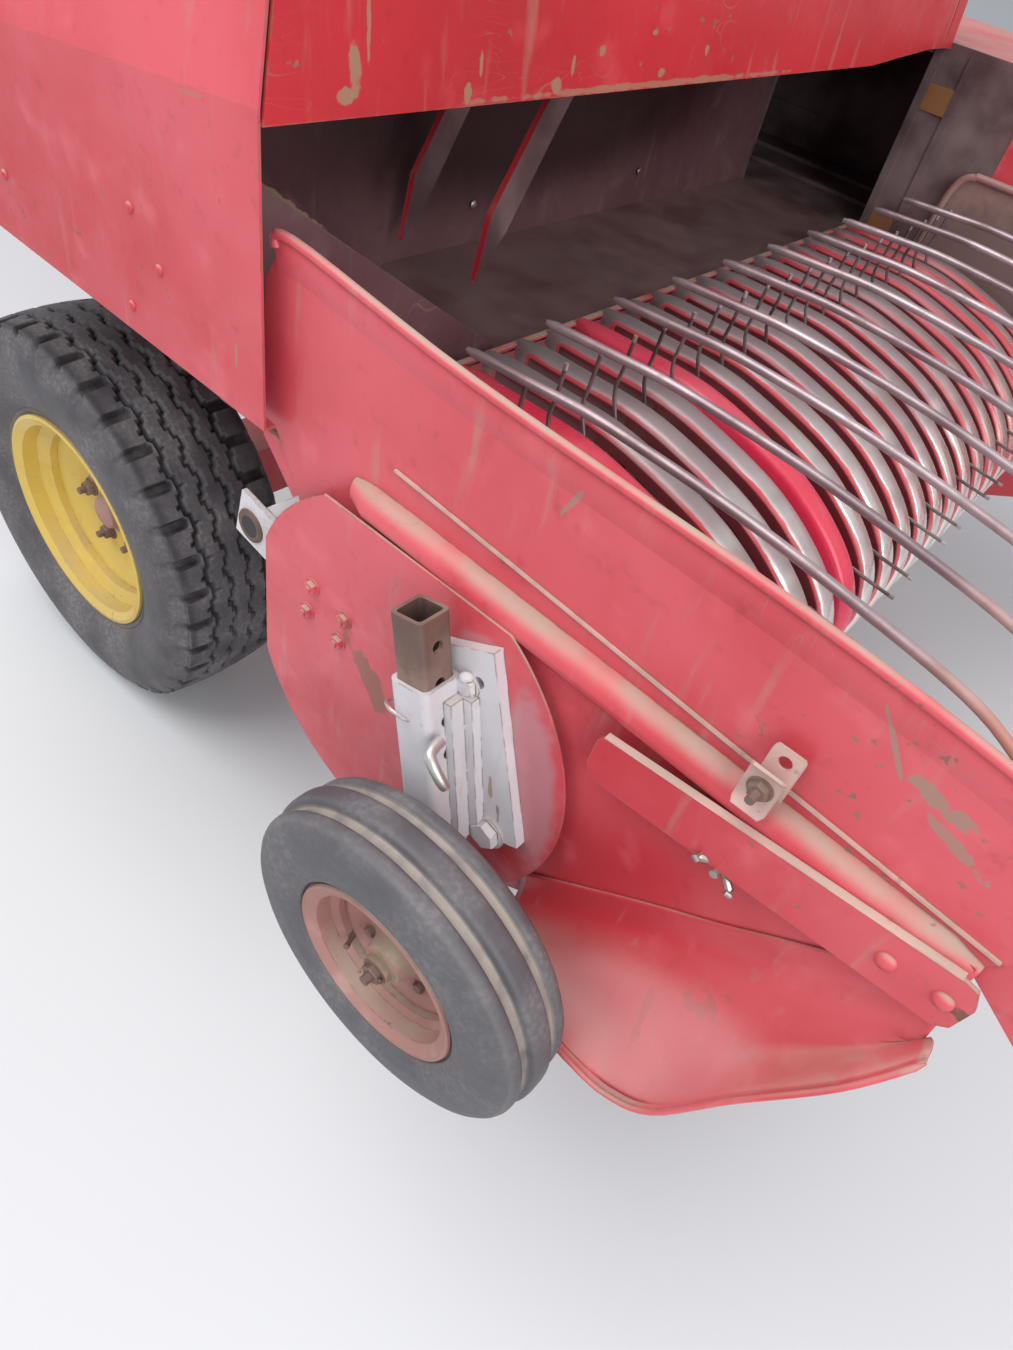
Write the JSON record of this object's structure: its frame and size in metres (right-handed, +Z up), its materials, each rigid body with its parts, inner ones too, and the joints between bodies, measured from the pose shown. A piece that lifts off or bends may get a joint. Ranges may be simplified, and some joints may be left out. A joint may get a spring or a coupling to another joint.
{
  "type": "small square hay baler",
  "caption": "Trailed square baler with a tined side pickup, open feeder housing, hollow bale chamber, swinging tongue, parking jack, transport wheels and a gauge wheel.",
  "frame": {"origin": "on the ground at the middle of the outline", "axes": "+X forward to the hitch, +Y to the left of the machine, +Z up"},
  "size_m": [5.675, 2.687, 1.574],
  "materials": {
    "dark_steel": "dark worn steel",
    "deep_red": "red paint, scraped",
    "dull_red": "dull dusty red-brown paint",
    "grey_paint": "light grey paint",
    "guard_black": "black plastic shaft guard",
    "red": "faded red paint with dust, scrapes and rust",
    "rust": "rusty brown steel",
    "tyre": "dusty black rubber",
    "wood": "oiled hardwood",
    "worn_steel": "bright worn steel",
    "yellow_rim": "yellow paint with dirt"
  },
  "bodies": {
    "frame": {"main_frame": "red", "bale_chamber": "red", "guide_blocks": "wood", "tension_rails": "red", "feeder_floor": "dark_steel", "feeder_wall": "dark_steel", "side_shield": "red", "front_panel": "deep_red", "feeder_rail": "red", "knotters": "red", "twine_box": "red", "gearbox": "red", "flywheel_guard": "red"},
    "feeder": {"feeder_fingers": "red"},
    "knotter_lid": {"knotter_cover": "red"},
    "twine_box_lid": {"twine_lid": "red"},
    "drive_wheel": {"flywheel": "deep_red"},
    "ram": {"plunger": "dark_steel"},
    "chute": {"bale_chute": "red"},
    "metering": {"meter_wheel": "worn_steel"},
    "needle_yoke": {"needles": "red"},
    "drawbar": {"tongue": "red", "hitch": "red", "jack_tube": "grey_paint"},
    "parking_leg": {"jack_leg": "grey_paint"},
    "driveshaft": {"pto_shaft": "guard_black"},
    "wheel_right": {"tyre_right": "tyre", "rim_right": "yellow_rim"},
    "wheel_left": {"tyre_left": "tyre", "rim_left": "yellow_rim"},
    "pickup": {"pickup_frame": "red", "stripper_bands": "worn_steel", "flare_right": "red", "cam_cover": "red", "lower_shield": "red", "strap": "red", "flare_left": "red", "lift_arm": "grey_paint", "gauge_bracket": "grey_paint", "gauge_leg": "rust"},
    "reel": {"reel_core": "dull_red", "reel_tines": "dark_steel"},
    "wheel_gauge": {"gauge_tyre": "tyre", "gauge_rim": "dull_red"},
    "guard": {"wind_guard": "worn_steel"}
  },
  "joints": [
    {"name": "wheel_right_spin", "type": "hinge", "parent": "frame", "child": "wheel_right", "pos_m": [-0.4475, -0.9445, 0.38], "axis": [0, 1, 0], "continuous": true},
    {"name": "wheel_left_spin", "type": "hinge", "parent": "frame", "child": "wheel_left", "pos_m": [-0.4475, 1.2115, 0.38], "axis": [0, 1, 0], "continuous": true},
    {"name": "pickup_lift", "type": "hinge", "parent": "frame", "child": "pickup", "pos_m": [0.0225, -0.7315, 0.78], "axis": [0, 1, 0], "range_deg": [0, 40]},
    {"name": "reel_spin", "type": "hinge", "parent": "pickup", "child": "reel", "pos_m": [0.5025, -0.2765, 0.745], "axis": [0, 1, 0], "continuous": true},
    {"name": "gauge_wheel_spin", "type": "hinge", "parent": "pickup", "child": "wheel_gauge", "pos_m": [0.6825, -1.2875, 0.615], "axis": [0, 1, 0], "continuous": true},
    {"name": "wind_guard_swing", "type": "hinge", "parent": "pickup", "child": "guard", "pos_m": [1.2125, -0.2765, 0.93], "axis": [0, 1, 0], "range_deg": [0, 30]},
    {"name": "feeder_travel", "type": "slide", "parent": "frame", "child": "feeder", "axis": [0, 1, 0], "range_m": [0, 0.7]},
    {"name": "knotter_cover_open", "type": "hinge", "parent": "frame", "child": "knotter_lid", "pos_m": [-0.5675, 1.0405, 1.329], "axis": [-1, 0, 0], "range_deg": [0, 75]},
    {"name": "twine_lid_open", "type": "hinge", "parent": "frame", "child": "twine_box_lid", "pos_m": [-1.3025, 1.0195, 1.496], "axis": [1, 0, 0], "range_deg": [0, 100]},
    {"name": "flywheel_spin", "type": "hinge", "parent": "frame", "child": "drive_wheel", "pos_m": [1.3425, 0.7625, 1.13], "axis": [1, 0, 0], "continuous": true},
    {"name": "plunger_stroke", "type": "slide", "parent": "frame", "child": "ram", "axis": [-1, 0, 0], "range_m": [0, 0.4]},
    {"name": "chute_fold", "type": "hinge", "parent": "frame", "child": "chute", "pos_m": [-2.2275, 0.7625, 0.925], "axis": [0, 1, 0], "range_deg": [0, 80]},
    {"name": "meter_wheel_spin", "type": "hinge", "parent": "frame", "child": "metering", "pos_m": [-0.9275, 0.7625, 1.355], "axis": [0, 1, 0], "continuous": true},
    {"name": "needle_swing", "type": "hinge", "parent": "frame", "child": "needle_yoke", "pos_m": [-0.8875, 0.7625, 0.87], "axis": [0, -1, 0], "range_deg": [0, 60]},
    {"name": "tongue_swing", "type": "hinge", "parent": "frame", "child": "drawbar", "pos_m": [1.4425, 0.7625, 0.75], "axis": [0, 0, 1], "range_deg": [-18, 8]},
    {"name": "jack_wind", "type": "slide", "parent": "drawbar", "child": "parking_leg", "axis": [0, 0, 1], "range_m": [0, 0.3]},
    {"name": "driveline_spin", "type": "hinge", "parent": "drawbar", "child": "driveshaft", "pos_m": [1.4425, 0.7625, 1.13], "axis": [0.9781, 0, -0.2079], "continuous": true}
  ]
}
